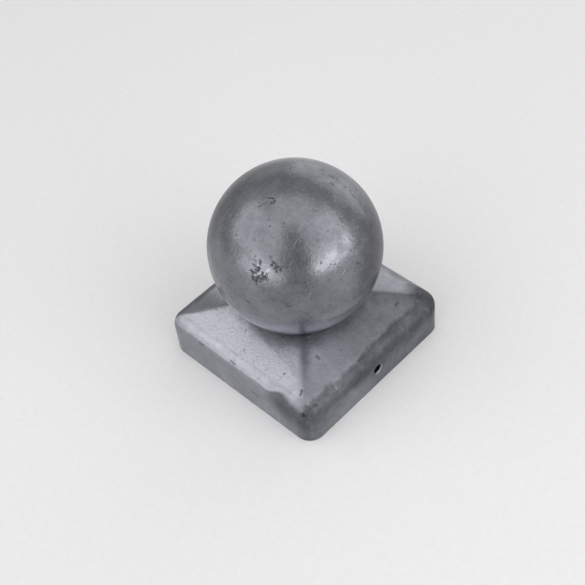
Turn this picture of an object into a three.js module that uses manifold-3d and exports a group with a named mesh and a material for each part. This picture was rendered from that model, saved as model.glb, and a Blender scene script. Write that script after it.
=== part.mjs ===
// A post cap: a square sheet-steel cap with a low four-sided top and a hollow steel ball seated on it.
// The cap slips over the top of a square fence post and is nailed through its two side holes.
// Millimetres, +Z up, origin at the centre of the rim's underside. The sides face X and Y.

import * as THREE from 'three';
import { ParametricGeometry } from 'three/addons/geometries/ParametricGeometry.js';
import { mergeVertices } from 'three/addons/utils/BufferGeometryUtils.js';
import Module from 'manifold-3d';

// Driving dimensions
const POST_SIZE = 90;            // square post that the cap covers
const POST_PLAY = 1;             // how much wider the inside is than the post
const SHEET = 1.5;               // sheet thickness
const OVERALL_HEIGHT = 103;      // rim to the top of the ball
const BALL_DIAMETER = 80;
const SHOULDER_HEIGHT = 21;      // where the flat side and the slope would meet without the bend
const PEAK_HEIGHT = 36.2;        // where the four slopes would meet without the ball seat
const BEND_RADIUS = 7.5;         // outside of the bend from side to slope
const CORNER_RADIUS = 7.7;       // outside of the upright corners, seen from above
const SEAT_GAP = 0.3;            // between the ball and the dish that it sits in
const SEAT_LIP = 2;              // height over which the slope runs off into the dish
const NAIL_HOLE_DIAMETER = 5;
const NAIL_HOLE_HEIGHT = 10.7;

// Facets, and the rings where the slope turns from square to round
const BEND_STEPS = 7;
const SLOPE_STEPS = 4;
const SEAT_STEPS = 8;
const SIDE_STEPS = 6;            // along each straight side
const CORNER_STEPS = 8;          // round each corner
const BALL_AROUND = 60;
const BALL_STACKS = 36;
const HOLE_SIDES = 24;
const LAST_SQUARE_RING = 30;     // half-width of the innermost square ring on the slope
const FIRST_ROUND_RING = 27;     // radius of the outermost round ring, outside the lip of the dish
const MERGE_DISTANCE = 1e-3;     // points closer than this are one point

// Worked-out sizes
const HALF = (POST_SIZE + POST_PLAY) / 2 + SHEET;
const BALL_RADIUS = BALL_DIAMETER / 2;
const BALL_HEIGHT = OVERALL_HEIGHT - BALL_RADIUS;
const SLOPE = (PEAK_HEIGHT - SHOULDER_HEIGHT) / HALF;
const SLOPE_ANGLE = Math.atan(SLOPE);
const BEND_ANGLE = Math.PI / 2 - SLOPE_ANGLE;
const BEND_CENTRE_HEIGHT = SHOULDER_HEIGHT - BEND_RADIUS * Math.tan(BEND_ANGLE / 2);
const BEND_CENTRE_OUT = HALF - BEND_RADIUS;
const SLOPE_START = BEND_CENTRE_OUT + BEND_RADIUS * Math.cos(BEND_ANGLE);
const RIDGE_RADIUS = CORNER_RADIUS - (HALF - SLOPE_START);

// A rounded square of half-width half: the point at step of the loop that runs round it.
const STEPS_AROUND = 4 * (SIDE_STEPS + CORNER_STEPS);

function roundedSquarePoint(half, cornerRadius, step) {
  const quarter = SIDE_STEPS + CORNER_STEPS;
  const turn = Math.floor(step / quarter) * (Math.PI / 2);
  const local = step % quarter;
  const straight = half - cornerRadius;
  const point = new THREE.Vector2(half, 0);
  if (local <= SIDE_STEPS) {
    point.y = straight * (2 * local / SIDE_STEPS - 1);
  } else {
    const angle = (local - SIDE_STEPS) / CORNER_STEPS * (Math.PI / 2);
    point.set(straight + cornerRadius * Math.cos(angle), straight + cornerRadius * Math.sin(angle));
  }
  return point.rotateAround(new THREE.Vector2(), turn);
}

// Height of the four slopes with their softened ridges, inset into the sheet by depth.
function slopeHeight(x, y, depth) {
  const far = Math.max(Math.abs(x), Math.abs(y));
  const near = Math.min(Math.abs(x), Math.abs(y));
  const radius = RIDGE_RADIUS - depth;
  let half = far;
  if (far - near < radius) {
    const straight = (far + near - Math.sqrt(2 * radius ** 2 - (far - near) ** 2)) / 2;
    half = straight + radius;
  }
  return PEAK_HEIGHT - SLOPE * half - depth / Math.cos(SLOPE_ANGLE);
}

// Height of the round dish under the ball, inset into the sheet by depth.
function dishHeight(x, y, depth) {
  const radius = BALL_RADIUS + SEAT_GAP + depth;
  return BALL_HEIGHT - Math.sqrt(Math.max(radius ** 2 - x ** 2 - y ** 2, 0));
}

// The lower of two heights, with a soft run from one to the other.
function softLower(a, b, blend) {
  const mix = Math.max(blend - Math.abs(a - b), 0) / blend;
  return Math.min(a, b) - mix ** 2 * blend / 4;
}

function topHeight(x, y, depth) {
  return softLower(slopeHeight(x, y, depth), dishHeight(x, y, depth), SEAT_LIP);
}

// One face of the sheet as rings, from its rim up over the bend and the slope to the middle of the dish.
// A ring is a function of the step round the loop that returns a point.
function sheetRings(depth) {
  const half = HALF - depth;
  const rings = [];

  function addLevelRing(out, height) {
    const cornerRadius = CORNER_RADIUS - depth - (half - out);
    rings.push((step) => {
      const flat = roundedSquarePoint(out, cornerRadius, step);
      return new THREE.Vector3(flat.x, flat.y, height);
    });
  }

  function addTopRing(flatPoint) {
    rings.push((step) => {
      const flat = flatPoint(step);
      return new THREE.Vector3(flat.x, flat.y, topHeight(flat.x, flat.y, depth));
    });
  }

  addLevelRing(half, 0);
  const bendRadius = BEND_RADIUS - depth;
  for (let i = 0; i <= BEND_STEPS; i += 1) {
    const angle = BEND_ANGLE * i / BEND_STEPS;
    const out = BEND_CENTRE_OUT + bendRadius * Math.cos(angle);
    addLevelRing(out, BEND_CENTRE_HEIGHT + bendRadius * Math.sin(angle));
  }

  const slopeStart = BEND_CENTRE_OUT + bendRadius * Math.cos(BEND_ANGLE);
  for (let i = 1; i <= SLOPE_STEPS; i += 1) {
    const out = THREE.MathUtils.lerp(slopeStart, LAST_SQUARE_RING, i / SLOPE_STEPS);
    addTopRing((step) => roundedSquarePoint(out, RIDGE_RADIUS - depth, step));
  }

  for (let i = 0; i <= SEAT_STEPS; i += 1) {
    const radius = FIRST_ROUND_RING * (1 - i / SEAT_STEPS);
    addTopRing((step) => {
      const direction = roundedSquarePoint(LAST_SQUARE_RING, RIDGE_RADIUS - depth, step);
      return direction.setLength(radius);
    });
  }
  return rings;
}

// Closed triangles of a geometry as a solid that can be cut.
const wasm = await Module();
wasm.setup();

function toSolid(geometry) {
  geometry.deleteAttribute('normal');
  geometry.deleteAttribute('uv');
  const merged = mergeVertices(geometry, MERGE_DISTANCE);
  const triVerts = [];
  const index = merged.index.array;
  for (let i = 0; i < index.length; i += 3) {
    const [a, b, c] = index.slice(i, i + 3);
    if (a !== b && b !== c && c !== a) {
      triVerts.push(a, b, c);
    }
  }
  const vertProperties = new Float32Array(merged.attributes.position.array);
  const mesh = new wasm.Mesh({ numProp: 3, vertProperties, triVerts: new Uint32Array(triVerts) });
  return new wasm.Manifold(mesh);
}

function toGeometry(solid) {
  const mesh = solid.getMesh();
  const geometry = new THREE.BufferGeometry();
  geometry.setAttribute('position', new THREE.BufferAttribute(mesh.vertProperties, 3));
  geometry.setIndex(new THREE.BufferAttribute(mesh.triVerts, 1));
  geometry.computeVertexNormals();
  return geometry;
}

// The cap: outer face from the dish down to the rim, then the inner face back up, as one closed skin.
function squareCap() {
  const rings = [...sheetRings(0).reverse(), ...sheetRings(SHEET)];
  const last = rings.length - 1;
  const skin = new ParametricGeometry((u, v, target) => {
    const ring = rings[Math.round(u * last)];
    const step = Math.round(v * STEPS_AROUND) % STEPS_AROUND;
    target.copy(ring(step));
  }, last, STEPS_AROUND);

  const holeRadius = NAIL_HOLE_DIAMETER / 2;
  const drillLength = 3 * HALF;
  const drill = new THREE.CylinderGeometry(holeRadius, holeRadius, drillLength, HOLE_SIDES);
  drill.rotateZ(Math.PI / 2);
  drill.translate(0, 0, NAIL_HOLE_HEIGHT);
  return toGeometry(toSolid(skin).subtract(toSolid(drill)));
}

function ball() {
  const geometry = new THREE.SphereGeometry(BALL_RADIUS, BALL_AROUND, BALL_STACKS);
  geometry.rotateX(Math.PI / 2);
  return geometry;
}

const zinc = { color: 0x85878c, roughness: 0.42, metalness: 1 };

const postCap = new THREE.Group();

const capMesh = new THREE.Mesh(squareCap(), new THREE.MeshStandardMaterial(zinc));
capMesh.name = 'square_cap';
postCap.add(capMesh);

const ballMesh = new THREE.Mesh(ball(), new THREE.MeshStandardMaterial(zinc));
ballMesh.name = 'ball';
ballMesh.position.z = BALL_HEIGHT;
postCap.add(ballMesh);

export default postCap;
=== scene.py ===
# %% [markdown]
# # A galvanised post cap with a ball
# This lesson dresses a fence-post cap: a square cap pressed from steel sheet, with a hollow steel ball
# seated on its low four-sided top. Both were dipped in molten zinc together, so the whole object has
# one bluish metal skin. Bright and dark patches of painted light and shade are added to its colour.
# The imported solids give the outer sizes. They are loaded first, and nothing below moves them.

import math

import bmesh
import bpy
from mathutils import Matrix, Vector, kdtree, noise
from mathutils.bvhtree import BVHTree


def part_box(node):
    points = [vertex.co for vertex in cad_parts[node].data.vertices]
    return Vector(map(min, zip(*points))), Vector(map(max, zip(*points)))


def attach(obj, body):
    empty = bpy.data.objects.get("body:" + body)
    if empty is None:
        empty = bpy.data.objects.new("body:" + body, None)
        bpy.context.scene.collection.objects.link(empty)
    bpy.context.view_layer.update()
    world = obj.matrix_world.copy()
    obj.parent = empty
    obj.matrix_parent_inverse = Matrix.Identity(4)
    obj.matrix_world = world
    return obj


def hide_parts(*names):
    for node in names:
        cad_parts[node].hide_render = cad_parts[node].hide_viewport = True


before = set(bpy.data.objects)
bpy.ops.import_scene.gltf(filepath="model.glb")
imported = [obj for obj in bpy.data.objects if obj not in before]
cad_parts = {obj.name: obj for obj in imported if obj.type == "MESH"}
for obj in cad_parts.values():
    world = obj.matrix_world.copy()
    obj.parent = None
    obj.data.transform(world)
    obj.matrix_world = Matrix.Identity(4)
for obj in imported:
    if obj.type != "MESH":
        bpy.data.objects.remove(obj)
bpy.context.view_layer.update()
print("solids in the frame:", len(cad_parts))

# %% Sizes from the frame
MM = 0.001
ball_low, ball_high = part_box("ball")
cap_low, cap_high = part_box("square_cap")
BALL_RADIUS = (ball_high.z - ball_low.z) / 2
BALL_CENTRE = (ball_low + ball_high) / 2
CAP_HALF = (cap_high.x - cap_low.x) / 2
print("ball radius", round(BALL_RADIUS / MM, 2), "mm, cap half width", round(CAP_HALF / MM, 2), "mm")

# %% [markdown]
# ## The camera
# The picture looks down on one corner of the cap, and the camera leans a little to one side.
# A camera can be set by two angles, a distance and a roll about its own line of sight. Those numbers
# come from matching the outlines of the ball and the cap, so the picture needs no shift of the lens.

# %% Where the camera stands
CAMERA_AZIMUTH = math.radians(49.5)
CAMERA_ELEVATION = math.radians(48.31)
CAMERA_ROLL = math.radians(-7.96)
CAMERA_DISTANCE = 521 * MM
AIM_HEIGHT = 40 * MM
AIM_RIGHT = -4.08 * MM
AIM_UP = -5.27 * MM

towards_camera = Vector((
    math.sin(CAMERA_AZIMUTH) * math.cos(CAMERA_ELEVATION),
    -math.cos(CAMERA_AZIMUTH) * math.cos(CAMERA_ELEVATION),
    math.sin(CAMERA_ELEVATION),
))
level_right = Vector((math.cos(CAMERA_AZIMUTH), math.sin(CAMERA_AZIMUTH), 0))
level_up = towards_camera.cross(level_right)
camera_right = level_right * math.cos(CAMERA_ROLL) + level_up * math.sin(CAMERA_ROLL)
camera_up = level_up * math.cos(CAMERA_ROLL) - level_right * math.sin(CAMERA_ROLL)
aim = Vector((0, 0, AIM_HEIGHT)) + level_right * AIM_RIGHT + level_up * AIM_UP
camera_place = aim + towards_camera * CAMERA_DISTANCE
print("camera at", [round(v, 4) for v in camera_place])

# %% The camera and its lens
PICTURE_SIZE = 585
FOCAL_PIXELS = 1112.8
SENSOR_WIDTH = 36.0
CLIP_START = 10 * MM

camera = bpy.data.objects.new("camera", bpy.data.cameras.new("camera"))
bpy.context.scene.collection.objects.link(camera)
axes = Matrix((camera_right, camera_up, towards_camera)).transposed().to_4x4()
camera.matrix_world = Matrix.Translation(camera_place) @ axes
camera.data.sensor_width = SENSOR_WIDTH
camera.data.lens = FOCAL_PIXELS / PICTURE_SIZE * SENSOR_WIDTH
camera.data.clip_start = CLIP_START
bpy.context.scene.camera = camera
print("lens", round(camera.data.lens, 1), "mm")

# %% [markdown]
# ## The pressed cap
# A press draws a flat square of sheet over a punch. It leaves upright sides with round corners, a round
# bend, four low slopes that meet in soft ridges, and a dish in the middle for the ball.
# It could be a bevelled box, but the bend, the corners and the ridges would each need a bevel of their own.
# Here one loop of edges starts at the rim and is extruded ring by ring over the bend and the slope,
# which is how the sheet really runs. Solidify then gives it its thickness.

# %% Sizes of the pressed sheet
SHEET = 1.5 * MM
SHOULDER_HEIGHT = 21 * MM
PEAK_HEIGHT = 36.2 * MM
BEND_RADIUS = 7.5 * MM
CORNER_RADIUS = 7.7 * MM

SLOPE = (PEAK_HEIGHT - SHOULDER_HEIGHT) / CAP_HALF
BEND_ANGLE = math.pi / 2 - math.atan(SLOPE)
BEND_CENTRE_HEIGHT = SHOULDER_HEIGHT - BEND_RADIUS * math.tan(BEND_ANGLE / 2)
BEND_CENTRE_OUT = CAP_HALF - BEND_RADIUS
SLOPE_START = BEND_CENTRE_OUT + BEND_RADIUS * math.cos(BEND_ANGLE)
RIDGE_RADIUS = CORNER_RADIUS - (CAP_HALF - SLOPE_START)
print("slope", round(math.degrees(math.atan(SLOPE)), 1), "degrees, ridge radius", round(RIDGE_RADIUS / MM, 2))

# %% A loop round a square with round corners
SIDE_STEPS = 64
CORNER_STEPS = 14
STEPS_AROUND = 4 * (SIDE_STEPS + CORNER_STEPS)


def rounded_square(half, corner_radius, step):
    """Point at a step of the loop."""
    quarter = SIDE_STEPS + CORNER_STEPS
    turn = Matrix.Rotation(step // quarter * math.pi / 2, 3, "Z")
    local = step % quarter
    straight = half - corner_radius
    if local <= SIDE_STEPS:
        return turn @ Vector((half, straight * (2 * local / SIDE_STEPS - 1), 0))
    angle = (local - SIDE_STEPS) / CORNER_STEPS * math.pi / 2
    corner = Vector((straight, straight, 0))
    return turn @ (corner + corner_radius * Vector((math.cos(angle), math.sin(angle), 0)))


print("a loop has", STEPS_AROUND, "points")

# %% Height of the slopes and the dish
SEAT_GAP = 0.3 * MM
SEAT_LIP = 2 * MM


def slope_height(x, y):
    """Height of the four slopes with their soft ridges."""
    far, near = max(abs(x), abs(y)), min(abs(x), abs(y))
    half = far
    if far - near < RIDGE_RADIUS:
        half = (far + near - math.sqrt(2 * RIDGE_RADIUS ** 2 - (far - near) ** 2)) / 2 + RIDGE_RADIUS
    return PEAK_HEIGHT - SLOPE * half


def top_height(x, y):
    """The lower of the slope and the dish, with a soft lip between them."""
    seat_radius = BALL_RADIUS + SEAT_GAP
    dish = BALL_CENTRE.z - math.sqrt(max(seat_radius ** 2 - x * x - y * y, 0))
    slope = slope_height(x, y)
    mix = max(SEAT_LIP - abs(dish - slope), 0) / SEAT_LIP
    return min(dish, slope) - mix ** 2 * SEAT_LIP / 4


print("the dish is", round(top_height(0, 0) / MM, 2), "mm high in the middle")

# %% Rings from the rim to the middle of the dish
SKIRT_ROWS = 15
BEND_ROWS = 28
SLOPE_ROWS = 14
TURN_ROWS = 10
SEAT_ROWS = 26
LAST_SQUARE_RING = 31 * MM
FIRST_ROUND_RING = 29 * MM


def level_ring(out, height):
    """A ring of the side or the bend, all at one height."""
    radius = CORNER_RADIUS - (CAP_HALF - out)
    return [rounded_square(out, radius, s) + Vector((0, 0, height)) for s in range(STEPS_AROUND)]


def top_ring(half, radius=0, roundness=0):
    """A ring of the top, from a square with soft corners at roundness 0 to a circle at 1."""
    ring = []
    for s in range(STEPS_AROUND):
        point = rounded_square(half, RIDGE_RADIUS, s)
        point = point.lerp(point.normalized() * radius, roundness)
        point.z = top_height(point.x, point.y)
        ring.append(point)
    return ring


rings = [level_ring(CAP_HALF, BEND_CENTRE_HEIGHT * i / SKIRT_ROWS) for i in range(SKIRT_ROWS)]
for i in range(BEND_ROWS + 1):
    angle = BEND_ANGLE * i / BEND_ROWS
    bend_out = BEND_CENTRE_OUT + BEND_RADIUS * math.cos(angle)
    rings.append(level_ring(bend_out, BEND_CENTRE_HEIGHT + BEND_RADIUS * math.sin(angle)))
for i in range(1, SLOPE_ROWS + 1):
    rings.append(top_ring(SLOPE_START + (LAST_SQUARE_RING - SLOPE_START) * i / SLOPE_ROWS))
for i in range(1, TURN_ROWS):
    rings.append(top_ring(LAST_SQUARE_RING, FIRST_ROUND_RING, i / TURN_ROWS))
for i in range(SEAT_ROWS):
    rings.append(top_ring(LAST_SQUARE_RING, FIRST_ROUND_RING * (1 - i / SEAT_ROWS), 1))
print(len(rings), "rings of", STEPS_AROUND, "points")

# %% Extrude the rings into a sheet
cap_mesh = bmesh.new()
row = bmesh.ops.create_circle(cap_mesh, segments=STEPS_AROUND, radius=CAP_HALF)["verts"]
for vert, point in zip(row, rings[0]):
    vert.co = point
loop = cap_mesh.edges[:]
for ring in rings[1:]:
    below = set(row)
    made = bmesh.ops.extrude_edge_only(cap_mesh, edges=loop)["geom"]
    loop = [e for e in made if isinstance(e, bmesh.types.BMEdge) and not below.intersection(e.verts)]
    new_verts = {v for v in made if isinstance(v, bmesh.types.BMVert)}
    row = [next(e.other_vert(v) for e in v.link_edges if e.other_vert(v) in new_verts) for v in row]
    for vert, point in zip(row, ring):
        vert.co = point
bmesh.ops.pointmerge(cap_mesh, verts=row, merge_co=Vector((0, 0, top_height(0, 0))))
print("one skin of", len(cap_mesh.faces), "faces")

# %% [markdown]
# ### Nail holes
# Two round holes are punched in opposite sides, so that the cap can be nailed to the post.
# A boolean cut would leave long thin faces round each hole. Here the faces in a small window are taken
# out, and the edge of the window is extruded and drawn in to a circle, and once more to the size of the
# hole. Solidify will turn that last circle into the wall of the hole.

# %% Punch the two nail holes
NAIL_HOLE_RADIUS = 2.5 * MM
NAIL_HOLE_HEIGHT = 10.7 * MM
HOLE_WINDOW = 3.7 * MM
HOLE_COLLAR = 3.2 * MM


def draw_in(edges, centre, radius):
    """Extrudes a loop of edges and draws its new points in to a circle."""
    old = {v for e in edges for v in e.verts}
    made = bmesh.ops.extrude_edge_only(cap_mesh, edges=edges)["geom"]
    for vert in made:
        if isinstance(vert, bmesh.types.BMVert):
            vert.co = centre + (vert.co - centre).normalized() * radius
    return [e for e in made if isinstance(e, bmesh.types.BMEdge) and not old.intersection(e.verts)]


for side in (1, -1):
    centre = Vector((side * CAP_HALF, 0, NAIL_HOLE_HEIGHT))
    window = []
    for face in cap_mesh.faces:
        away = face.calc_center_median() - centre
        if max(abs(away.x), abs(away.y), abs(away.z)) < HOLE_WINDOW:
            window.append(face)
    bmesh.ops.delete(cap_mesh, geom=window, context="FACES")
    window_edges = []
    for edge in cap_mesh.edges:
        middle = (edge.verts[0].co + edge.verts[1].co) / 2 - centre
        if edge.is_boundary and middle.length < 2 * HOLE_WINDOW:
            window_edges.append(edge)
    collar = draw_in(window_edges, centre, HOLE_COLLAR)
    edge_of_hole = draw_in(collar, centre, NAIL_HOLE_RADIUS)
    print("hole with", len(edge_of_hole), "sides at", [round(v / MM, 1) for v in centre])
bmesh.ops.recalc_face_normals(cap_mesh, faces=cap_mesh.faces)

# %% [markdown]
# ### Scuffs, scratches and pits
# Knocks in handling cut through the zinc. They leave shallow grooves that are dark and rough.
# A groove could be bump in the material, but then the mesh itself would stay smooth. Here the mesh is
# divided finely only round each mark, its points sink by up to about a tenth of a millimetre, and a
# value for how scuffed they are is stored on them, which the material reads. A value below 0 brightens
# the zinc instead; on the ball these are painted glints.
# A mark is a stroke of pixels of the picture. A ray from the camera through each pixel finds where it
# lies on the metal itself, so the mark belongs to the surface and looks right from every side.

# %% Strokes of pixels, laid on the metal
MARK_STEP = 0.25 * MM


def pixel_ray(pixel):
    """Direction from the camera through a pixel of the picture."""
    across = (pixel[0] - PICTURE_SIZE / 2) / FOCAL_PIXELS
    down = (pixel[1] - PICTURE_SIZE / 2) / FOCAL_PIXELS
    return (camera_right * across - camera_up * down - towards_camera).normalized()


def stroke_points(surface, pixels):
    """Points in small steps along a stroke."""
    hits = [surface.ray_cast(camera_place, pixel_ray(p))[0] for p in pixels]
    hits = [h for h in hits if h is not None]
    points = hits[:1]
    for a, b in zip(hits, hits[1:]):
        count = max(int((b - a).length / MARK_STEP), 1)
        points += [a.lerp(b, (i + 1) / count) for i in range(count)]
    return points


def lay_marks(surface, marks):
    """A mark is a stroke of pixels, a width and a depth in millimetres, and a strength."""
    laid = []
    for pixels, width, depth, strength in marks:
        laid.append((stroke_points(surface, pixels), width * MM, depth * MM, strength))
    return laid


print("the picture's first pixel looks along", [round(v, 3) for v in pixel_ray((0, 0))])

# %% Marks on the cap
# A strength below 0 is a bright scrape.
CAP_MARKS = [
    # Nicks along the ridge and the corner that face the camera
    ([(317, 356), (319, 358)], 1.3, 0.08, 0.4),
    ([(302, 390), (300, 395)], 1.0, 0.10, 0.5),
    ([(285, 373), (284, 374)], 0.9, 0.05, 0.5),
    ([(282, 377), (279, 380)], 0.6, 0.03, 0.25),
    ([(303, 415), (304, 416)], 1.7, 0.12, 0.7),
    ([(306, 406), (308, 407)], 1.4, 0.04, 0.25),
    ([(315, 405), (316, 405)], 1.3, 0.05, 0.3),
    # Bright scrapes on the right bend and at the right corner
    ([(334, 384), (337, 389)], 0.9, 0.05, -0.4),
    ([(427, 309), (429, 312)], 1.5, 0.03, -0.6),
    # Dents along the front bend, and one spot on the right slope
    ([(252, 392), (254, 393), (257, 396)], 1.2, 0.04, 0.3),
    ([(231, 361), (234, 364)], 1.2, 0.06, 0.35),
    ([(199, 343), (203, 345)], 1.3, 0.05, 0.3),
    ([(396, 304), (396, 305)], 1.3, 0.05, 0.5),
    # Faint scratches on the front slope
    ([(244, 349), (245, 352)], 1.1, 0.03, 0.25),
    ([(254, 360), (253, 364)], 0.7, 0.03, 0.2),
    ([(268, 366), (266, 370)], 0.7, 0.03, 0.2),
    ([(246, 330), (245, 333)], 0.8, 0.03, 0.25),
    ([(216, 309), (217, 310)], 0.9, 0.03, 0.4),
]

cap_surface = BVHTree.FromBMesh(cap_mesh)
cap_marks = lay_marks(cap_surface, CAP_MARKS)
print(len(cap_marks), "marks on the cap")

# %% Divide the sheet under the marks
MARK_CUTS = 3
CAP_MARK_MARGIN = 1.3 * MM


def tree_of_points(verts):
    """A search tree that finds the points near a place."""
    tree = kdtree.KDTree(len(verts))
    for i, vert in enumerate(verts):
        tree.insert(vert.co, i)
    tree.balance()
    return tree


def divide_near(mesh, marks, margin):
    """Divides the faces that lie under the marks."""
    mesh.verts.ensure_lookup_table()
    tree = tree_of_points(mesh.verts)
    near = set()
    for points, width, _, _ in marks:
        for point in points:
            near.update(i for _, i, _ in tree.find_range(point, width / 2 + margin))
    chosen = {mesh.verts[i] for i in near}
    edges = [e for e in mesh.edges if e.verts[0] in chosen and e.verts[1] in chosen]
    bmesh.ops.subdivide_edges(mesh, edges=edges, cuts=MARK_CUTS, use_grid_fill=True)


divide_near(cap_mesh, cap_marks, CAP_MARK_MARGIN)
cap_mesh.normal_update()
print("divided to", len(cap_mesh.faces), "faces")

# %% [markdown]
# ### Waves and thickness of the sheet
# A pressed and dipped sheet is never quite flat: the press leaves faint waves, and zinc runs while it
# freezes. A few hundredths of a millimetre are enough to make the reflections waver. Bump could fake
# them, but real waves also bend the outline. They fade out at the rim, which stands flat on the floor.
# The waved skin then gets its thickness, and the sharp edges of the rim and the holes are eased, because
# zinc rounds every edge.

# %% Helpers for soft steps and noise
SEED_ACROSS = 1.7
SEED_UP = 0.6


def soft_step(start, full, value):
    """0 at start, 1 at full, smooth between; start may be the larger one."""
    t = min(max((value - start) / (full - start), 0.0), 1.0)
    return t * t * (3 - 2 * t)


def cloud(point, size, seed):
    """Smooth noise from about -1 to 1 whose lumps are about size across."""
    return noise.noise(point / size + Vector((seed, SEED_ACROSS * seed, SEED_UP * seed)))


def clouds(point, layers):
    """A sum of noises. A layer is a size, a weight and a seed."""
    return sum(weight * cloud(point, size, seed) for size, weight, seed in layers)


print("a quarter of the way, a soft step is at", soft_step(0, 1, 0.25))

# %% Waves
WAVE_HEIGHT = 0.05 * MM
SHEET_WAVES = [(13 * MM, WAVE_HEIGHT, 0.0), (4.5 * MM, 0.012 * MM, 5.0)]
FLAT_RIM = 1 * MM

for vert in cap_mesh.verts:
    settle = soft_step(0, FLAT_RIM, vert.co.z)
    vert.co += vert.normal * (clouds(vert.co, SHEET_WAVES) - WAVE_HEIGHT) * settle
print("waves of up to", round(WAVE_HEIGHT / MM, 3), "mm")

# %% Thickness and eased edges
EDGE_EASE = 0.3 * MM
HOLE_EASE = 0.5 * MM
EASE_SEGMENTS = 3
SHARP_ANGLE = math.radians(60)


def ease_sharp_edges(ease, low, high):
    """Rounds the sharp edges that lie between two heights."""
    edges = []
    for edge in cap_mesh.edges:
        in_reach = low <= edge.verts[0].co.z <= high
        if in_reach and len(edge.link_faces) == 2 and edge.calc_face_angle() > SHARP_ANGLE:
            edges.append(edge)
    bmesh.ops.bevel(
        cap_mesh, geom=edges, offset=ease, affect="EDGES", segments=EASE_SEGMENTS, profile=0.5, material=-1,
        clamp_overlap=True)
    print("eased", len(edges), "sharp edges")


bmesh.ops.solidify(cap_mesh, geom=cap_mesh.faces[:], thickness=SHEET)
cap_mesh.normal_update()
ease_sharp_edges(EDGE_EASE, low=-EDGE_EASE, high=EDGE_EASE)
ease_sharp_edges(HOLE_EASE, low=NAIL_HOLE_HEIGHT - HOLE_WINDOW, high=NAIL_HOLE_HEIGHT + HOLE_WINDOW)

# %% Press the marks into the weather side
MARK_GRAIN = 0.42 * MM
MARK_SEED = 3.0
MARK_RAGGED = 0.8
MARK_BORDER = (0.7, 0.15)
OUTSIDE_TILT = 0.3


def outside(vert):
    """True on the weather side of the sheet."""
    out = vert.normal.x * vert.co.x + vert.normal.y * vert.co.y
    return vert.normal.z > OUTSIDE_TILT or (out > 0 and vert.normal.z > -OUTSIDE_TILT)


def press_marks(mesh, marks, may_be_marked):
    """Sinks the points under the marks and stores how scuffed each one is; a value below 0 brightens instead,
    which on the ball is a painted glint.
    """
    scuff_and_glint = mesh.verts.layers.float.new("scuff_and_glint")
    mesh.verts.ensure_lookup_table()
    mesh.normal_update()
    verts = [v for v in mesh.verts if may_be_marked(v)]
    tree = tree_of_points(verts)
    depths = {}
    for points, width, depth, strength in marks:
        for point in points:
            for place, i, far in tree.find_range(point, width):
                ragged = far / width + MARK_RAGGED * cloud(place, MARK_GRAIN, MARK_SEED)
                amount = soft_step(*MARK_BORDER, ragged)
                vert = verts[i]
                if amount * abs(strength) > abs(vert[scuff_and_glint]):
                    vert[scuff_and_glint] = amount * strength
                depths[i] = max(depths.get(i, 0.0), amount * depth)
    for i, depth in depths.items():
        verts[i].co -= verts[i].normal * depth
    print("pressed", len(depths), "points, the deepest by", round(max(depths.values()) / MM, 3), "mm")


press_marks(cap_mesh, cap_marks, outside)

# %% [markdown]
# ### Painted light and shade on the zinc
# The front slope is bright, the bend on the right has a dark band, and the corners are dark. These are
# painted into the colour: a painted highlight on the front slope, painted shade along the bends and on
# the corners, painted light and shade on the other slopes, and painted shade under the ball.
# Noise alone could scatter such patches, but not put them where they are. Here a tone value is worked
# out for each point, with a faint random tone of the zinc and the painted light and shade: 0.5 is plain
# zinc, less is darker, more is brighter. A patch is a share from 0 to 1. Its border is a soft step over
# a span, which says where it starts and where it is full, and noise breaks the border up. The front
# faces -Y, the right side +X, and the near corner lies between them.

# %% Shares of the four sides
SIDE_EDGE = 1.2 * MM
FRONT_RIDGE_FADE = 6 * MM
LEFT_RIDGE_FADE = 4.5 * MM
LEFT_RIDGE_SPAN = (43 * MM, 36 * MM)


def far_out(point):
    """How far a point lies from the middle, counted square as the rings are."""
    return max(abs(point.x), abs(point.y))


def front_share(point):
    """1 on the front. Its borders fade slowly along the ridges, the left one only above the bend."""
    start, full = -SIDE_EDGE, FRONT_RIDGE_FADE
    if point.x < 0:
        on_ridge = soft_step(*LEFT_RIDGE_SPAN, far_out(point))
        start = SIDE_EDGE * (on_ridge - 1)
        full = SIDE_EDGE + (LEFT_RIDGE_FADE - SIDE_EDGE) * on_ridge
    return soft_step(start, full, -point.y - abs(point.x))


def side_share(ahead, across):
    """1 on the side that lies ahead, 0 past the ridges at its ends."""
    return soft_step(-SIDE_EDGE, SIDE_EDGE, ahead - abs(across))


def side_shares(point):
    return {
        "front": front_share(point),
        "right": side_share(point.x, point.y),
        "back": side_share(point.y, point.x),
        "left": side_share(-point.x, point.y),
    }


front_spot = Vector((0, -SLOPE_START, slope_height(0, SLOPE_START)))
print("at the top of the front bend", side_shares(front_spot))

# %% The painted highlight on the front slope
BRIGHT_EDGE_HEIGHT = 19.3 * MM
BRIGHT_EDGE_WANDER = 0.45 * MM
BRIGHT_EDGE_FADE = 0.2 * MM
BITE_HEIGHT = 2.2 * MM
BITE_SPAN = (19 * MM, 28 * MM)
BITE_FALL = 0.45
BITE_FALL_SPAN = (31 * MM, 36 * MM)
CORNER_FADE = 1.4 * MM
CORNER_FADE_SPAN = (20 * MM, 38 * MM)
CORNER_LOSS = 0.35
CORNER_LOSS_SPAN = (31 * MM, 38 * MM)
RIDGE_PATCH_START = 10 * MM
RIDGE_PATCH_LEAN = 4.5
RIDGE_PATCH_FADE = 7 * MM
RIDGE_PATCH_LOSS = 0.52


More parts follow.
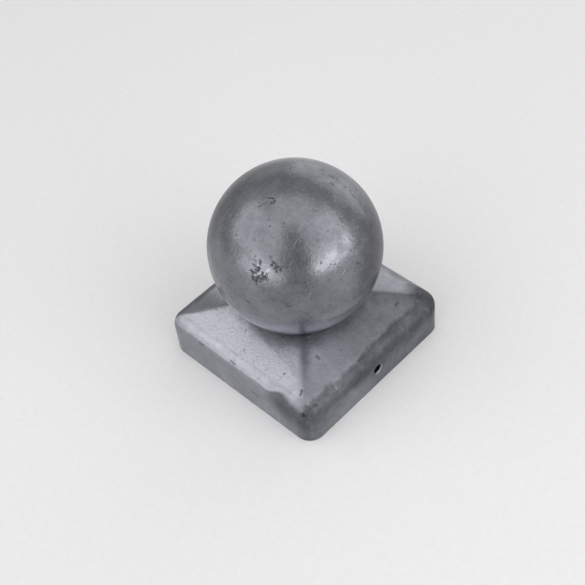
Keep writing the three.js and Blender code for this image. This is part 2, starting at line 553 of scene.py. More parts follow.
def painted_highlight_share(point, front, ragged):
    """Painted highlight on the front slope. Towards the near corner its lower edge climbs, and it fades."""
    bite = BITE_HEIGHT * soft_step(*BITE_SPAN, point.x)
    bite *= 1 - BITE_FALL * soft_step(*BITE_FALL_SPAN, point.x)
    edge = BRIGHT_EDGE_HEIGHT + bite + BRIGHT_EDGE_WANDER * ragged
    fade = BRIGHT_EDGE_FADE + CORNER_FADE * soft_step(*CORNER_FADE_SPAN, point.x)
    share = front * soft_step(edge - fade, edge + fade, point.z)
    share *= 1 - CORNER_LOSS * soft_step(*CORNER_LOSS_SPAN, point.x)
    past_start = point.x - RIDGE_PATCH_START - RIDGE_PATCH_LEAN * (far_out(point) - LAST_SQUARE_RING)
    return share * (1 - RIDGE_PATCH_LOSS * soft_step(-RIDGE_PATCH_FADE, RIDGE_PATCH_FADE, past_start))


print("bright share there", round(painted_highlight_share(front_spot, front_share(front_spot), 0.0), 2))

# %% Where the bends get painted shade
BAND_HEIGHT_SPAN = (6 * MM, 16 * MM)
BAND_OUT_SPAN = (40.2 * MM, 42.4 * MM)
RIGHT_BAND_SHIFT = 1.2 * MM
RIGHT_BAND_SHIFT_SPAN = (0, -20 * MM)


def above_side(point, wander):
    """1 from the bend upwards, 0 low on the upright sides."""
    return soft_step(*BAND_HEIGHT_SPAN, point.z + 2 * wander)


def bend_share(point, right, wander):
    """1 on the bend. On the right the band is narrower towards the near corner."""
    shift = RIGHT_BAND_SHIFT * right * soft_step(*RIGHT_BAND_SHIFT_SPAN, point.y)
    return above_side(point, wander) * soft_step(*BAND_OUT_SPAN, far_out(point) + wander - shift)


print("bend share there", round(bend_share(front_spot, 0.0, 0.0), 2))

# %% Painted shade on the corners
WEDGE_START = 18 * MM
WEDGE_LEAN = 0.6
WEDGE_RIGHT_START = 32 * MM
WEDGE_FADE_SPAN = (-5 * MM, 8 * MM)
WEDGE_OUT_SPAN = (41 * MM, 44 * MM)
CORNER_CORE_SPAN = (36 * MM, 43 * MM)
LOW_SHARE = 0.15
LOW_SHARE_AT_CORE = 0.5
LOW_SPAN = (3 * MM, 15 * MM)
RIGHT_CORNER_SPAN = (19 * MM, 8 * MM)


def near_corner_share(point, wander):
    """The wedge of painted shade on the corner that faces the camera, weaker low on the sides."""
    along_front = point.x - WEDGE_START + WEDGE_LEAN * (point.z - SHOULDER_HEIGHT) + wander
    along_right = -point.y - WEDGE_RIGHT_START + 2 * wander
    share = soft_step(*WEDGE_FADE_SPAN, min(along_front, along_right))
    low = LOW_SHARE + LOW_SHARE_AT_CORE * soft_step(*CORNER_CORE_SPAN, point.x)
    by_height = low + (1 - low) * soft_step(*LOW_SPAN, point.z)
    return share * soft_step(*WEDGE_OUT_SPAN, far_out(point)) * by_height


def right_corner_share(point, wander):
    """Painted shade on the corner on the right of the picture, between the right side and the back."""
    away = Vector((point.x - CAP_HALF, point.y - CAP_HALF)).length
    return soft_step(*RIGHT_CORNER_SPAN, away + 2 * wander) * above_side(point, wander)


corner_spot = Vector((BEND_CENTRE_OUT, BEND_CENTRE_OUT, SHOULDER_HEIGHT))
print("dull share at the right corner", round(right_corner_share(corner_spot, 0.0), 2))

# %% How dark the painted shade is
RIGHT_BAND_DARK = 0.75
RIGHT_BAND_NEAR_LOSS = 0.22
RIGHT_BAND_NEAR_SPAN = (-6 * MM, -28 * MM)
BACK_BAND_DARK = 0.5
LEFT_BAND_DARK = 0.4
NEAR_CORNER_DARK = 0.55
NEAR_CORE_DARK = 0.22


def darkness(point, sides, painted_highlight, bend, near_corner, right_corner):
    """The darkest of the patches of painted shade that lie over a point."""
    right_band = RIGHT_BAND_DARK - RIGHT_BAND_NEAR_LOSS * soft_step(*RIGHT_BAND_NEAR_SPAN, point.y)
    near_core = soft_step(*CORNER_CORE_SPAN, min(point.x, -point.y))
    return max(
        right_band * sides["right"] * bend,
        BACK_BAND_DARK * sides["back"] * bend,
        LEFT_BAND_DARK * sides["left"] * bend,
        (NEAR_CORNER_DARK + NEAR_CORE_DARK * near_core) * near_corner * (1 - painted_highlight),
        right_corner,
    )


print("darkness of a right corner", darkness(corner_spot, side_shares(corner_spot), 0.0, 0.0, 0.0, 1.0))

# %% Painted light and shade on the other slopes, and painted light on the upright side at the front
BACK_GAIN = 0.19
LEFT_GAIN = 0.02
LEFT_RISE = 0.39
LEFT_RISE_SPAN = (-30 * MM, -20 * MM)
RIGHT_GAIN = -0.05
RIGHT_NEAR_RISE = 0.17
RIGHT_NEAR_SPAN = (6 * MM, -20 * MM)
RIGHT_FAR_LOSS = 0.07
RIGHT_FAR_SPAN = (24 * MM, 34 * MM)
SKIRT_GAIN = 0.14
SKIRT_RIM_GAIN = 0.07
SKIRT_RIM_SPAN = (13 * MM, 1 * MM)


def slope_gain(point, sides, bend, right_corner):
    """Painted light and shade on the left, right and back slopes, as a shift from plain zinc."""
    left = LEFT_GAIN + LEFT_RISE * soft_step(*LEFT_RISE_SPAN, point.y)
    right = RIGHT_GAIN + RIGHT_NEAR_RISE * soft_step(*RIGHT_NEAR_SPAN, point.y)
    right -= RIGHT_FAR_LOSS * soft_step(*RIGHT_FAR_SPAN, point.y)
    gain = (left * sides["left"] + right * sides["right"]) * (1 - bend)
    return gain + BACK_GAIN * sides["back"] * (1 - right_corner)


def front_side_gain(point, front, painted_highlight, near_corner):
    """Painted light on the front below the painted highlight: a little brighter than plain zinc, most at the
    rim.
    """
    gain = SKIRT_GAIN + SKIRT_RIM_GAIN * soft_step(*SKIRT_RIM_SPAN, point.z)
    return gain * front * (1 - painted_highlight) * (1 - near_corner)


print("gain at the front rim", round(front_side_gain(Vector((0, -CAP_HALF, 0)), 1.0, 0.0, 0.0), 2))

# %% Painted shade under the ball, and painted shade and light along the ridge at the near corner
SEAT_SHADE = 0.16
SEAT_SHADE_FRONT = 0.28
SEAT_SHADE_FULL = 25 * MM
SEAT_SHADE_REACH = 34.5 * MM
SEAT_SHADE_LEFT_REACH = 4.5 * MM
SEAT_SHADE_LEFT_SPAN = (0, -20 * MM)
RIDGE_OFFSET = 0.8 * MM
RIDGE_LINE_LOSS = 0.07
RIDGE_LINE_WIDTH_SPAN = (1.8 * MM, 0.4 * MM)
RIDGE_LINE_END_SPAN = (37 * MM, 29 * MM)
BESIDE_GAIN = 0.09
BESIDE_INNER_SPAN = (1 * MM, 4 * MM)
BESIDE_OUTER_SPAN = (14 * MM, 5 * MM)
BESIDE_TOP_SPAN = (22 * MM, 26 * MM)
BESIDE_FOOT_SPAN = (38 * MM, 32 * MM)


def painted_seat_shade(point, front):
    """Painted shade in the angle under the ball, which reaches furthest on the left of the front."""
    reach = SEAT_SHADE_REACH + SEAT_SHADE_LEFT_REACH * front * soft_step(*SEAT_SHADE_LEFT_SPAN, point.x)
    from_middle = Vector((point.x, point.y)).length
    return (SEAT_SHADE + SEAT_SHADE_FRONT * front) * soft_step(reach, SEAT_SHADE_FULL, from_middle)


def ridge_gain(point):
    """A thin line of painted shade on the ridge at the near corner, with painted light beside it."""
    if point.x <= 0 or point.y >= 0:
        return 0.0
    out = far_out(point)
    off_ridge = abs(point.x + point.y - RIDGE_OFFSET) / math.sqrt(2)
    line = soft_step(*RIDGE_LINE_WIDTH_SPAN, off_ridge) * soft_step(*RIDGE_LINE_END_SPAN, out)
    beside = soft_step(*BESIDE_INNER_SPAN, off_ridge) * soft_step(*BESIDE_OUTER_SPAN, off_ridge)
    beside *= soft_step(*BESIDE_TOP_SPAN, out) * soft_step(*BESIDE_FOOT_SPAN, out)
    return BESIDE_GAIN * beside - RIDGE_LINE_LOSS * line


# The first value printed here is the painted shade under the ball
print("dirt at the front spot", round(painted_seat_shade(front_spot, 1.0), 2), "and ridge", ridge_gain(front_spot))

# %% Painted shade and light in the nail holes
HOLE_TONE = 0.1
HOLE_RIM_GAIN = 0.3
HOLE_LIT_GAIN = 0.4
HOLE_LIT_SIDE = Vector((0.6, -0.8))
HOLE_LIT_SPAN = (-0.1, 0.7)
HOLE_RIM_MARGIN = 1.05
HOLE_RIM_RADIUS = NAIL_HOLE_RADIUS + HOLE_RIM_MARGIN * HOLE_EASE


def nail_hole_tone(point):
    """Painted shade on the wall of a nail hole and painted light on its eased rim, brightest low on one side;
    None elsewhere.
    """
    from_hole = Vector((point.y, point.z - NAIL_HOLE_HEIGHT))
    if from_hole.length >= HOLE_RIM_RADIUS or abs(point.x) <= CAP_HALF - 2 * SHEET:
        return None
    lit = soft_step(*HOLE_LIT_SPAN, from_hole.normalized().dot(HOLE_LIT_SIDE))
    on_rim = soft_step(CAP_HALF - SHEET, CAP_HALF - HOLE_EASE, far_out(point))
    return HOLE_TONE + (HOLE_RIM_GAIN + HOLE_LIT_GAIN * lit) * on_rim


print("rim of a nail hole reaches", round(HOLE_RIM_RADIUS / MM, 2), "mm from its middle")

# %% Tarnish, painted light and painted shade of the whole cap
CAP_TONE = 0.55
CAP_CLOUDS = [(16 * MM, 0.05, 13.0)]
RAGGED_CLOUDS = [(9 * MM, 1.0, 11.0), (3.2 * MM, 0.6, 12.0), (1.3 * MM, 0.5, 14.0)]
BORDER_WANDER = 1.3 * MM
INSIDE_LOSS = 0.08
PAINTED_HIGHLIGHT_GAIN = 0.5
PAINTED_HIGHLIGHT_BEND_LOSS = 0.3
DARK_LOSS = 0.4


def cap_tarnish_and_painted_light(vert):
    """How bright the zinc is at a point of the cap, with its painted light and shade."""
    point = vert.co
    hole_tone = nail_hole_tone(point)
    if hole_tone is not None:
        return hole_tone
    tone = CAP_TONE + clouds(point, CAP_CLOUDS)
    if not outside(vert):
        return tone - INSIDE_LOSS
    ragged = clouds(point, RAGGED_CLOUDS)
    wander = BORDER_WANDER * ragged
    sides = side_shares(point)
    painted_highlight = painted_highlight_share(point, sides["front"], ragged)
    bend = bend_share(point, sides["right"], wander)
    near_corner = near_corner_share(point, wander)
    right_corner = right_corner_share(point, wander)
    # Painted highlight, painted shade on the bends and corners, painted light and shade on the slopes and the
    # front side, a painted ridge line, and painted shade under the ball
    tone += PAINTED_HIGHLIGHT_GAIN * painted_highlight * (1 - PAINTED_HIGHLIGHT_BEND_LOSS * bend)
    tone -= DARK_LOSS * darkness(point, sides, painted_highlight, bend, near_corner, right_corner)
    tone += slope_gain(point, sides, bend, right_corner)
    tone += front_side_gain(point, sides["front"], painted_highlight, near_corner)
    return tone + ridge_gain(point) - painted_seat_shade(point, sides["front"])


cap_layer = cap_mesh.verts.layers.float.new("tarnish_and_painted_light")
cap_mesh.normal_update()
for vert in cap_mesh.verts:
    vert[cap_layer] = cap_tarnish_and_painted_light(vert)
cap_tones = [vert[cap_layer] for vert in cap_mesh.verts]
print("tarnish of the cap from", round(min(cap_tones), 2), "to", round(max(cap_tones), 2))

# %% [markdown]
# ### Soft patches of painted light and shade
# Besides these zones there are soft patches of painted light and painted shade, a centimetre or so wide,
# a little brighter or darker. Noise could scatter them, but here each one lies where the picture shows it.
# It is a short stroke of pixels, with its reach and how much it adds to the tone.

# %% Soft patches of painted light and shade on the cap
CAP_PAINTED_LIGHT_AND_SHADE = [
    ([(334, 340), (341, 347)], 8, 0.08),
    ([(311, 364), (320, 366)], 5, -0.09),
    ([(310, 341), (318, 340)], 5, -0.12),
    ([(228, 306), (221, 312)], 6, -0.12),
    ([(292, 368), (296, 384)], 5, -0.10),
    ([(256, 339), (268, 349)], 6, -0.10),
    ([(272, 386), (288, 388)], 4, -0.07),
    ([(328, 420), (350, 398)], 5, -0.12),
    ([(374, 293), (378, 298)], 7, -0.10),
    ([(184, 327), (190, 333)], 6, -0.06),
]


def paint_light_and_shade(verts, surface, patches, layer):
    """Paints soft patches: a gain above 0 paints light, below 0 shade. A patch is a stroke of pixels, a reach
    in millimetres and a gain.
    """
    tree = tree_of_points(verts)
    for pixels, millimetres, gain in patches:
        reach = millimetres * MM
        weights = {}
        for point in stroke_points(surface, pixels):
            for _, i, far in tree.find_range(point, reach):
                weights[i] = max(weights.get(i, 0.0), soft_step(reach, 0, far))
        for i, weight in weights.items():
            verts[i][layer] += gain * weight
    print(len(patches), "soft patches")


paint_light_and_shade([v for v in cap_mesh.verts if outside(v)], cap_surface, CAP_PAINTED_LIGHT_AND_SHADE, cap_layer)

# %% The finished cap
def finish_piece(mesh, name, node):
    """Turns a bmesh into a smooth object that rides on the root and stands for a solid."""
    piece = bpy.data.objects.new(name, bpy.data.meshes.new(name))
    bpy.context.scene.collection.objects.link(piece)
    mesh.to_mesh(piece.data)
    mesh.free()
    piece.data.polygons.foreach_set("use_smooth", [True] * len(piece.data.polygons))
    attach(piece, "root")
    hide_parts(node)
    print(name, "has", len(piece.data.polygons), "faces")
    return piece


cap = finish_piece(cap_mesh, "sheet_cap", "square_cap")

# %% [markdown]
# ## The ball
# Two half shells are pressed, welded round the middle and ground smooth, so the seam doesn't show.
# A sphere of rings and segments would pinch the reflections at its poles. An icosphere has even faces all
# over. It gets the same faint waves as the sheet, and the scuffs and pits that the picture shows.

# %% Scuffs on the ball
BALL_MARKS = [
    # A hooked scratch near the top, with a faint tail
    ([(268, 197), (273, 198), (275, 201), (273, 203), (271, 203)], 0.9, 0.12, 0.8),
    ([(267, 201), (263, 203), (259, 206)], 0.8, 0.04, 0.3),
    # The left half of the scuffed place beside the left highlight
    ([(255, 256), (255, 257)], 0.8, 0.04, 0.4),
    ([(253, 259), (254, 260)], 0.8, 0.05, 0.4),
    ([(256, 261), (256, 263)], 1.1, 0.06, 0.3),
    ([(260, 260), (261, 262), (260, 264)], 1.2, 0.10, 0.6),
    ([(253, 264), (255, 266)], 1.0, 0.08, 0.55),
    ([(256, 267), (259, 268), (258, 271), (256, 270)], 1.2, 0.10, 0.8),
    ([(251, 271), (253, 273), (256, 272)], 1.1, 0.10, 0.8),
    ([(263, 273), (262, 275)], 1.1, 0.08, 0.7),
    ([(253, 277), (253, 280)], 1.5, 0.10, 0.7),
    ([(259, 277), (257, 279), (256, 281)], 1.5, 0.12, 0.8),
    ([(262, 279), (265, 277)], 1.7, 0.12, 0.8),
    ([(260, 281), (261, 282)], 1.4, 0.06, 0.5),
    ([(266, 279), (267, 280)], 1.1, 0.06, 0.55),
    ([(256, 283), (257, 284)], 0.8, 0.05, 0.6),
    ([(267, 274), (267, 275)], 0.8, 0.05, 0.5),
    # Its right half
    ([(270, 257), (272, 259)], 1.2, 0.04, 0.3),
    ([(273, 262), (275, 263)], 1.1, 0.08, 0.7),
    ([(272, 265), (272, 266)], 1.2, 0.12, 0.95),
    ([(277, 265), (279, 267), (275, 268)], 1.5, 0.12, 0.8),
    ([(277, 270), (277, 272)], 1.0, 0.06, 0.6),
    ([(280, 269), (281, 270)], 1.1, 0.09, 0.8),
    ([(282, 267), (288, 267)], 1.1, 0.06, 0.5),
    # Painted glints between the scuffs, in the left highlight
    ([(272, 267), (273, 268)], 0.9, 0.01, -0.7),
    ([(266, 271), (269, 270)], 1.3, 0.01, -0.5),
    ([(260, 273), (259, 275)], 1.0, 0.01, -0.5),
    ([(265, 273), (265, 275)], 1.0, 0.01, -0.4),
    ([(265, 265), (267, 266)], 1.5, 0.01, -0.25),
    # A faint scuff below them
    ([(260, 287), (264, 290)], 1.0, 0.03, 0.2),
    # Faint dents round the upper right
    ([(331, 176), (333, 177)], 1.6, 0.06, 0.3),
    ([(337, 178), (338, 180)], 1.2, 0.05, 0.25),
    ([(331, 183), (333, 184)], 1.2, 0.06, 0.35),
    ([(321, 169), (323, 170)], 1.4, 0.05, 0.25),
    ([(353, 195), (355, 198)], 1.1, 0.05, 0.3),
    ([(364, 209), (367, 213)], 1.6, 0.06, 0.3),
    ([(360, 202), (361, 206)], 1.0, 0.05, 0.25),
    ([(343, 188), (346, 187)], 1.0, 0.04, 0.2),
    ([(350, 190), (351, 193)], 1.0, 0.04, 0.2),
    ([(313, 212), (316, 210)], 0.8, 0.03, 0.2),
    ([(340, 217), (343, 221)], 0.8, 0.03, 0.25),
    # Single dents lower down
    ([(357, 262), (359, 263)], 1.1, 0.06, 0.4),
    ([(287, 305), (290, 306)], 1.8, 0.05, 0.3),
    ([(247, 301), (250, 303)], 1.6, 0.05, 0.25),
    ([(221, 288), (224, 293)], 1.6, 0.05, 0.5),
]
print(len(BALL_MARKS), "scuffs on the ball")

# %% Pits in the ball
BALL_PITS = [
    (269, 219), (282, 181), (271, 183), (284, 223), (290, 169), (259, 206), (288, 305), (249, 302),
    (264, 302), (300, 244), (297, 265), (321, 263), (331, 265), (335, 265), (342, 311), (330, 305),
    (306, 287), (329, 280), (240, 290), (312, 318), (236, 235), (232, 262), (318, 240), (345, 290),
]
PIT_WIDTH = 0.9
PIT_DEPTH = 0.06
PIT_STRENGTH = 0.4
all_ball_marks = BALL_MARKS + [([pixel], PIT_WIDTH, PIT_DEPTH, PIT_STRENGTH) for pixel in BALL_PITS]
print(len(BALL_PITS), "pits in the ball")

# %% Shape the ball
BALL_SUBDIVISIONS = 7
BALL_MARK_MARGIN = 0.9 * MM

ball_mesh = bmesh.new()
bmesh.ops.create_icosphere(ball_mesh, subdivisions=BALL_SUBDIVISIONS, radius=BALL_RADIUS)
bmesh.ops.translate(ball_mesh, verts=ball_mesh.verts, vec=BALL_CENTRE)
ball_surface = BVHTree.FromBMesh(ball_mesh)
ball_marks = lay_marks(ball_surface, all_ball_marks)
divide_near(ball_mesh, ball_marks, BALL_MARK_MARGIN)
for vert in ball_mesh.verts:
    direction = (vert.co - BALL_CENTRE).normalized()
    vert.co = BALL_CENTRE + direction * (BALL_RADIUS - WAVE_HEIGHT + clouds(vert.co, SHEET_WAVES))
press_marks(ball_mesh, ball_marks, lambda vert: True)
print("the ball has", len(ball_mesh.faces), "faces")

# %% [markdown]
# ### Painted shade and painted reflection on the ball
# The ball gets painted shade in round patches on its right, on its far left and at the front, and a
# painted reflection that brightens it below the middle, most on its right. On a ball a patch needs no
# outline: it is the direction of its middle, with a span of cosines, where 1 is the middle itself.

# %% Tarnish, painted shade and painted reflection of the ball
BALL_TONE = 0.48
BALL_CLOUDS = [(18 * MM, 0.05, 21.0), (6 * MM, 0.03, 22.0)]
SHADE_RIGHT = Vector((0.61, 0.72, -0.33))
SHADE_BACK = Vector((-0.85, -0.15, 0.2)).normalized()
SHADE_FRONT = Vector((0.69, -0.70, 0.2)).normalized()
PAINTED_SHADE_ROUNDS = [
    (SHADE_RIGHT, (0.38, 0.72), 0.26),
    (SHADE_RIGHT, (0.72, 0.85), 0.07),
    (SHADE_BACK, (0.58, 0.84), 0.26),
    (SHADE_FRONT, (0.94, 0.99), 0.06),
]
RIGHT_SIDE = Vector((0.65, 0.76, 0))
PAINTED_REFLECTION_GAIN = 0.18
PAINTED_REFLECTION_RIGHT_GAIN = 0.22
PAINTED_REFLECTION_RIGHT_SPAN = (-0.2, 0.2)
PAINTED_REFLECTION_SPAN = (-0.04, -0.34)


def ball_tarnish_and_painted_light(point):
    """How bright the zinc is at a point of the ball, with its painted shade and painted reflection."""
    direction = (point - BALL_CENTRE).normalized()
    painted_shade = sum(loss * soft_step(*span, direction.dot(middle)) for middle, span, loss in PAINTED_SHADE_ROUNDS)
    painted_reflection = PAINTED_REFLECTION_GAIN + PAINTED_REFLECTION_RIGHT_GAIN * soft_step(*PAINTED_REFLECTION_RIGHT_SPAN, direction.dot(RIGHT_SIDE))
    painted_reflection *= soft_step(*PAINTED_REFLECTION_SPAN, direction.z)
    return BALL_TONE + clouds(point, BALL_CLOUDS) - painted_shade + painted_reflection


ball_layer = ball_mesh.verts.layers.float.new("tarnish_and_painted_light")
for vert in ball_mesh.verts:
    vert[ball_layer] = ball_tarnish_and_painted_light(vert.co)
ball_tones = [vert[ball_layer] for vert in ball_mesh.verts]
print("tarnish of the ball from", round(min(ball_tones), 2), "to", round(max(ball_tones), 2))

# %% Soft patches of painted light and shade on the ball, and the finished ball
BALL_PAINTED_LIGHT_AND_SHADE = [
    ([(348, 236), (354, 229)], 5.5, 0.20),
    ([(342, 246), (352, 246)], 5, -0.10),
    ([(256, 257), (258, 262)], 4, 0.13),
    ([(332, 265), (336, 263)], 5, 0.05),
    ([(318, 206), (336, 216)], 6, 0.06),
    ([(286, 208), (300, 206)], 7, -0.05),
    ([(222, 205), (213, 235), (214, 262)], 6, -0.07),
    ([(276, 183), (298, 187)], 5, 0.06),
    ([(234, 242), (236, 254)], 8, 0.15),
    ([(247, 203), (266, 193)], 8, 0.13),
    ([(264, 173), (280, 168)], 7, 0.14),
    ([(250, 226), (258, 234)], 7, -0.07),
    ([(314, 238), (326, 236)], 8, -0.06),
    ([(342, 196), (352, 210)], 6, -0.08),
    ([(302, 168), (325, 172)], 6, -0.06),
    ([(346, 283), (351, 281)], 8, 0.08),
    ([(262, 288), (328, 283)], 6, -0.06),
    ([(280, 266), (300, 270)], 7, 0.08),
    ([(270, 312), (330, 320)], 7, 0.05),
    ([(228, 300), (236, 309), (250, 320)], 4, -0.10),
]
paint_light_and_shade(ball_mesh.verts[:], ball_surface, BALL_PAINTED_LIGHT_AND_SHADE, ball_layer)
ball = finish_piece(ball_mesh, "steel_ball", "ball")

# %% [markdown]
# ## Hot-dip zinc
# The coat is metal all through, so its colour is the colour of its reflections: grey with a little blue.
# It froze from a bath, which leaves faint crystal patches two or three millimetres across, a fine
# grain that breaks up the highlights, and a satin gloss that is duller where the coat alloyed.
# A plain grey metal would look like plastic foil. Here patterns of several real sizes are added to the
# tarnish, and their sum picks the colour and the gloss. One function makes the finish for both pieces,
# because one bath made it.

# %% Colours and a node helper
def linear(hex_colour):
    """sRGB hex to the linear colour that a shader wants."""
    parts = [int(hex_colour[i:i + 2], 16) / 255 for i in (1, 3, 5)]
    return [p / 12.92 if p <= 0.04045 else ((p + 0.055) / 1.055) ** 2.4 for p in parts] + [1.0]


def add(tree, kind, inputs=None, **settings):
    """Adds a node, sets its properties, and sets or links its inputs."""
    node = tree.nodes.new(kind)
    for name, value in settings.items():
        setattr(node, name, value)
    for name, value in (inputs or {}).items():
        if isinstance(value, bpy.types.NodeSocket):
            tree.links.new(value, node.inputs[name])
        else:
            node.inputs[name].default_value = value
    return node


def per_mm(size):
    """Texture scale for a pattern of this size in millimetres, on coordinates in metres."""
    return 1 / (size * MM)


print("middle grey is", round(linear("#808080")[0], 3), "in linear light")

# %% Patterns in the zinc
# Real hairlines and grain are finer. These are as fine as still shows at this distance.
BLOOM_SIZE = 9
CRYSTAL_SIZE = 2.8
GRAIN_SIZE = 1.5
SCRATCH_WIDTH = 0.45
SCRATCH_LENGTH = 14
SCRATCH_TURN = (0.4, 0.9, 0.6)
FLECK_SPACING = 3.6


def zinc_patterns(tree):
    """The patterns that the coat has all over, as sockets from 0 to 1."""
    place = add(tree, "ShaderNodeTexCoord").outputs["Object"]
    bloom = add(tree, "ShaderNodeTexNoise", {
        "Vector": place, "Scale": per_mm(BLOOM_SIZE), "Detail": 4.0, "Roughness": 0.6, "Distortion": 0.5})
    crystal = add(tree, "ShaderNodeTexVoronoi", {"Vector": place, "Scale": per_mm(CRYSTAL_SIZE)})
    crystal_parts = add(tree, "ShaderNodeSeparateColor", {"Color": crystal.outputs["Color"]})
    grain = add(tree, "ShaderNodeTexNoise", {
        "Vector": place, "Scale": per_mm(GRAIN_SIZE), "Detail": 3.0, "Roughness": 0.65})

    stretched = add(tree, "ShaderNodeMapping", {
        "Vector": place, "Rotation": SCRATCH_TURN,
        "Scale": (per_mm(SCRATCH_WIDTH), per_mm(SCRATCH_LENGTH), per_mm(SCRATCH_LENGTH))})
    streaks = add(tree, "ShaderNodeTexNoise", {
        "Vector": stretched.outputs["Vector"], "Scale": 1.0, "Detail": 1.0, "Distortion": 0.2})
    scratches = add(tree, "ShaderNodeMapRange", {
        "Value": streaks.outputs["Fac"], "From Min": 0.66, "From Max": 0.74})

    fleck = add(tree, "ShaderNodeTexVoronoi", {"Vector": place, "Scale": per_mm(FLECK_SPACING)})
    fleck_parts = add(tree, "ShaderNodeSeparateColor", {"Color": fleck.outputs["Color"]})
    spots = add(tree, "ShaderNodeMapRange", {
        "Value": fleck.outputs["Distance"], "From Min": 0.20, "From Max": 0.08})
    chosen = add(tree, "ShaderNodeMapRange", {
        "Value": fleck_parts.outputs["Blue"], "From Min": 0.45, "From Max": 0.9})
    flecks = add(tree, "ShaderNodeMath", {
        0: spots.outputs["Result"], 1: chosen.outputs["Result"]}, operation="MULTIPLY")
    return {
        "bloom": bloom.outputs["Fac"],
        "crystal tone": crystal_parts.outputs["Red"],
        "crystal height": crystal_parts.outputs["Green"],
        "grain": grain.outputs["Fac"],
        "scratches": scratches.outputs["Result"],
        "flecks": flecks.outputs[0],
    }


print("patterns from", SCRATCH_WIDTH, "to", SCRATCH_LENGTH, "mm")

# %% Tone, gloss and relief of the zinc
ZINC_TONES = [(0.0, "#3b3c41"), (0.25, "#5d5e64"), (0.5, "#808288"), (0.75, "#9a9ca3"), (1.0, "#bec0c8")]
SCUFF_COLOUR = "#424347"
TONE_WEIGHTS = {"bloom": 0.3, "crystal tone": 0.05, "grain": 0.22, "scratches": 0.06, "flecks": -0.22}
EVEN_PATTERNS = ("bloom", "crystal tone", "grain")
SCUFF_AND_GLINT_TONE = -0.3
ROUGHNESS_BY_TONE = -0.22
ROUGHNESS_BY_GRAIN = 0.12
ROUGHNESS_BY_SCUFF = 0.3
RELIEF_WEIGHTS = {"grain": 0.6, "crystal height": 0.12, "scratches": -0.25, "flecks": -0.2}


def weighted_sum(tree, total, parts):
    """A total plus each socket times its weight."""
    for socket, weight in parts:
        step = add(tree, "ShaderNodeMath", {0: socket, 1: weight, 2: total}, operation="MULTIPLY_ADD")
        total = step.outputs[0]
    return total


def zinc_colour(tree, tone, scuff_and_glint):
    """Colour for a tone from 0, dull, to 1, bright. Scuffs are darker."""
    ramp = add(tree, "ShaderNodeValToRGB", {"Fac": tone})
    while len(ramp.color_ramp.elements) < len(ZINC_TONES):
        ramp.color_ramp.elements.new(0.5)
    for element, (position, colour) in zip(ramp.color_ramp.elements, ZINC_TONES):
        element.position = position
        element.color = linear(colour)
    mixed = add(tree, "ShaderNodeMix", {
        "Factor": scuff_and_glint, "A": ramp.outputs["Color"], "B": linear(SCUFF_COLOUR)}, data_type="RGBA")
    return mixed.outputs["Result"]


even_weight = sum(TONE_WEIGHTS[name] for name in EVEN_PATTERNS)
print("the even patterns shift the tone by up to", round(even_weight / 2, 3), "either way")

# %% The zinc on each piece
SHEET_ROUGHNESS = 0.45
BALL_ROUGHNESS = 0.20
SHEET_GRAIN_DEPTH = 0.25 * MM
BALL_GRAIN_DEPTH = 0.17 * MM


def hot_dip_zinc(name, roughness, grain_depth):
    """Satin zinc that reads the values stored on the mesh: the tone with its painted light and shade, and the
    scuffs with the painted glints on the ball.
    """
    material = bpy.data.materials.new(name)
    material.use_nodes = True
    tree = material.node_tree
    shader = tree.nodes["Principled BSDF"]
    tarnish_and_painted_light = add(tree, "ShaderNodeAttribute", attribute_name="tarnish_and_painted_light").outputs["Fac"]
    scuff_and_glint = add(tree, "ShaderNodeAttribute", attribute_name="scuff_and_glint").outputs["Fac"]
    patterns = zinc_patterns(tree)

    tone_parts = [(patterns[pattern], weight) for pattern, weight in TONE_WEIGHTS.items()]
    tone = weighted_sum(tree, -even_weight / 2, [(tarnish_and_painted_light, 1.0), *tone_parts, (scuff_and_glint, SCUFF_AND_GLINT_TONE)])
    gloss = weighted_sum(tree, roughness - ROUGHNESS_BY_TONE / 2, [
        (tone, ROUGHNESS_BY_TONE), (patterns["grain"], ROUGHNESS_BY_GRAIN), (scuff_and_glint, ROUGHNESS_BY_SCUFF)])
    relief_parts = [(patterns[pattern], weight) for pattern, weight in RELIEF_WEIGHTS.items()]
    relief = weighted_sum(tree, 0.0, relief_parts)
    bump = add(tree, "ShaderNodeBump", {"Height": relief, "Strength": 1.0, "Distance": grain_depth})

    tree.links.new(zinc_colour(tree, tone, scuff_and_glint), shader.inputs["Base Color"])
    tree.links.new(gloss, shader.inputs["Roughness"])
    tree.links.new(bump.outputs["Normal"], shader.inputs["Normal"])
    shader.inputs["Metallic"].default_value = 1.0
    return material


cap.data.materials.append(hot_dip_zinc("hot_dip_zinc_on_pressed_sheet", SHEET_ROUGHNESS, SHEET_GRAIN_DEPTH))
ball.data.materials.append(hot_dip_zinc("hot_dip_zinc_on_pressed_ball", BALL_ROUGHNESS, BALL_GRAIN_DEPTH))
print("materials", [m.name for m in bpy.data.materials])

# %% [markdown]
# ## The studio
# A metal shows what stands round it, so the lights matter as much as the finish. Two soft panels stand
# left and right of the camera and make the two bright patches on the ball. A grey cloth behind the camera
# makes the dark upright stripe between them. Broad, weaker panels above fill the top of the ball, and a
# pale one behind makes the light rim at its far edge. The floor is matt white paper.
# An image of a real studio could light it too, but panels of known size are easier to place.

# %% A matt material for paper and cloth
RELIEF_STRENGTH = 0.1


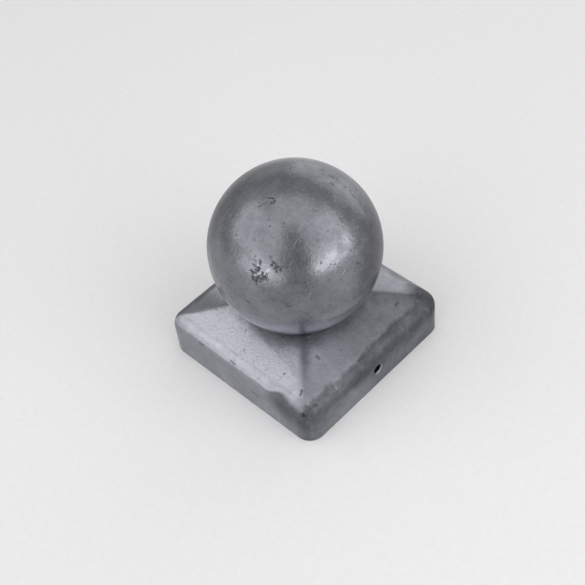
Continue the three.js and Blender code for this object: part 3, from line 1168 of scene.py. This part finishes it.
def matt_sheet(name, tones, grain_size, detail, roughness, relief):
    """Paper or cloth: dull, with a faint grain between two tones, and a relief if it has one."""
    material = bpy.data.materials.new(name)
    material.use_nodes = True
    tree = material.node_tree
    shader = tree.nodes["Principled BSDF"]
    place = add(tree, "ShaderNodeTexCoord").outputs["Object"]
    grain = add(tree, "ShaderNodeTexNoise", {
        "Vector": place, "Scale": per_mm(grain_size), "Detail": detail}).outputs["Fac"]
    dark, pale = tones
    colour = add(tree, "ShaderNodeMix", {
        "Factor": grain, "A": linear(dark), "B": linear(pale)}, data_type="RGBA")
    tree.links.new(colour.outputs["Result"], shader.inputs["Base Color"])
    shader.inputs["Roughness"].default_value = roughness
    if relief:
        bump = add(tree, "ShaderNodeBump", {"Height": grain, "Strength": RELIEF_STRENGTH, "Distance": relief})
        tree.links.new(bump.outputs["Normal"], shader.inputs["Normal"])
    return material


PAPER_TONES = ("#e2e2e2", "#eaeaea")
CLOTH_TONES = ("#9c9ca0", "#acacb0")
paper = matt_sheet(
    "matt_white_paper", PAPER_TONES, grain_size=3, detail=3.0, roughness=0.9, relief=0.05 * MM)
cloth = matt_sheet(
    "grey_cotton_cloth", CLOTH_TONES, grain_size=2, detail=2.0, roughness=0.95, relief=0)
print("materials", paper.name, "and", cloth.name)

# %% The floor
FLOOR_SIZE = 8.0


def studio_sheet(name, width, height, place, material):
    """A flat rectangle that stands in the studio and isn't part of the object."""
    mesh = bmesh.new()
    bmesh.ops.create_grid(mesh, x_segments=1, y_segments=1, size=0.5)
    bmesh.ops.scale(mesh, verts=mesh.verts, vec=(width, height, 1))
    mesh.transform(place)
    sheet = bpy.data.objects.new(name, bpy.data.meshes.new(name))
    mesh.to_mesh(sheet.data)
    mesh.free()
    sheet.data.materials.append(material)
    bpy.context.scene.collection.objects.link(sheet)
    return sheet


floor = studio_sheet("floor", FLOOR_SIZE, FLOOR_SIZE, Matrix.Identity(4), paper)
print("floor", [round(v, 2) for v in floor.dimensions])

# %% The sky
SKY_RADIANCE = 0.5
world = bpy.data.worlds.new("studio")
world.use_nodes = True
background = world.node_tree.nodes["Background"]
background.inputs["Color"].default_value = (1, 1, 1, 1)
background.inputs["Strength"].default_value = SKY_RADIANCE
bpy.context.scene.world = world
print("sky of", SKY_RADIANCE)

# %% Soft panels
camera_side = math.atan2(towards_camera.y, towards_camera.x)
# Name, azimuth and elevation in degrees, distance, width and height in metres, radiance
PANELS = [
    ("left_panel", -48, 7, 1.0, 1.00, 0.28, 1.8),
    ("right_panel", 47.5, 13, 1.0, 1.06, 0.24, 2.95),
    ("right_upper_panel", 56, 42, 1.0, 1.10, 0.80, 1.0),
    ("left_upper_panel", -74, 41, 1.0, 1.60, 0.85, 0.9),
    ("top_panel", 0, 88, 1.0, 0.90, 0.90, 0.75),
    ("back_panel", 143, 7, 1.2, 1.45, 1.15, 0.78),
]


def facing_ball(azimuth, elevation, distance):
    """A place that faces the ball. Azimuth is counted in degrees from the camera's side."""
    turn = math.radians(azimuth) + camera_side
    rise = math.radians(elevation)
    out = Vector((math.cos(turn) * math.cos(rise), math.sin(turn) * math.cos(rise), math.sin(rise)))
    place = Matrix.Translation(BALL_CENTRE + out * distance)
    return place @ out.to_track_quat("Z", "Y").to_matrix().to_4x4()


for name, azimuth, elevation, distance, width, height, radiance in PANELS:
    light = bpy.data.lights.new(name, "AREA")
    light.shape = "RECTANGLE"
    light.size = width
    light.size_y = height
    light.energy = radiance * math.pi * width * height
    panel = bpy.data.objects.new(name, light)
    bpy.context.scene.collection.objects.link(panel)
    panel.matrix_world = facing_ball(azimuth, elevation, distance)
    panel.visible_camera = False
    print(name, "of", round(light.energy, 2), "W")

# %% The grey cloth behind the camera
FLAG_WIDTH = 0.34
FLAG_HEIGHT = 0.85
FLAG_ELEVATION = 43
FLAG_DISTANCE = 0.9
flag_place = facing_ball(0, FLAG_ELEVATION, FLAG_DISTANCE)
flag = studio_sheet("dark_flag", FLAG_WIDTH, FLAG_HEIGHT, flag_place, cloth)
flag.visible_camera = False
bpy.context.scene.view_settings.view_transform = "Standard"
print("cloth at", [round(v, 2) for v in flag_place.translation])
